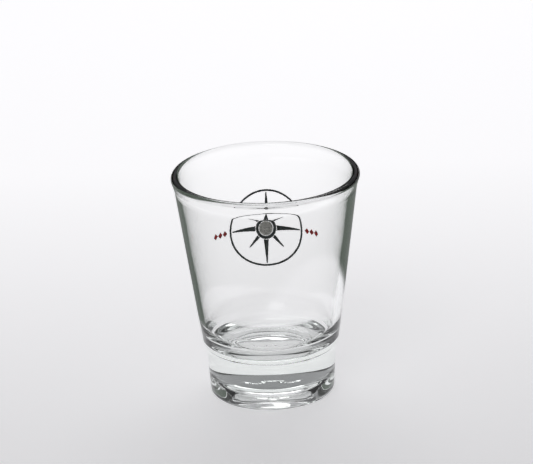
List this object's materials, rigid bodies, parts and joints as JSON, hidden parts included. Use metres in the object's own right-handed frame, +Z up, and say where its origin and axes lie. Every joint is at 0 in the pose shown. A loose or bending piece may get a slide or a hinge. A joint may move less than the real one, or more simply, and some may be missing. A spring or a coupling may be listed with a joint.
{
  "type": "shot glass",
  "caption": "Tapered clear shot glass with a heavy stepped base, rolled rim, recessed foot and a small ringed star motif in dark, grey and red enamel on its far wall.",
  "frame": {"origin": "centre of the foot, on the plane the glass stands on", "axes": "+Z up along the glass's axis; +Y towards the wall that carries the printed motif; +X to the right of someone who looks at the motif through the glass from the clear side"},
  "size_m": [0.0486, 0.0486, 0.06],
  "materials": {
    "clear_glass": "fire-polished clear soda-lime glass, faint green at its edges",
    "dark_enamel": "fired enamel ink, blue-black, satin, slightly uneven",
    "grey_enamel": "fired enamel ink, warm grey, satin, slightly uneven",
    "red_enamel": "fired enamel ink, deep red, satin, slightly uneven"
  },
  "bodies": {
    "root": {"glass_body": "clear_glass", "hub_ring": "dark_enamel", "hub_centre": "grey_enamel", "ray_north": "dark_enamel", "ray_north_west": "dark_enamel", "ray_north_east": "dark_enamel", "ray_west": "dark_enamel", "ray_east": "dark_enamel", "band_left": "red_enamel", "band_right": "red_enamel", "outer_ring": "dark_enamel", "ray_south_west": "dark_enamel", "ray_south_east": "dark_enamel", "ray_south": "dark_enamel"}
  },
  "joints": []
}
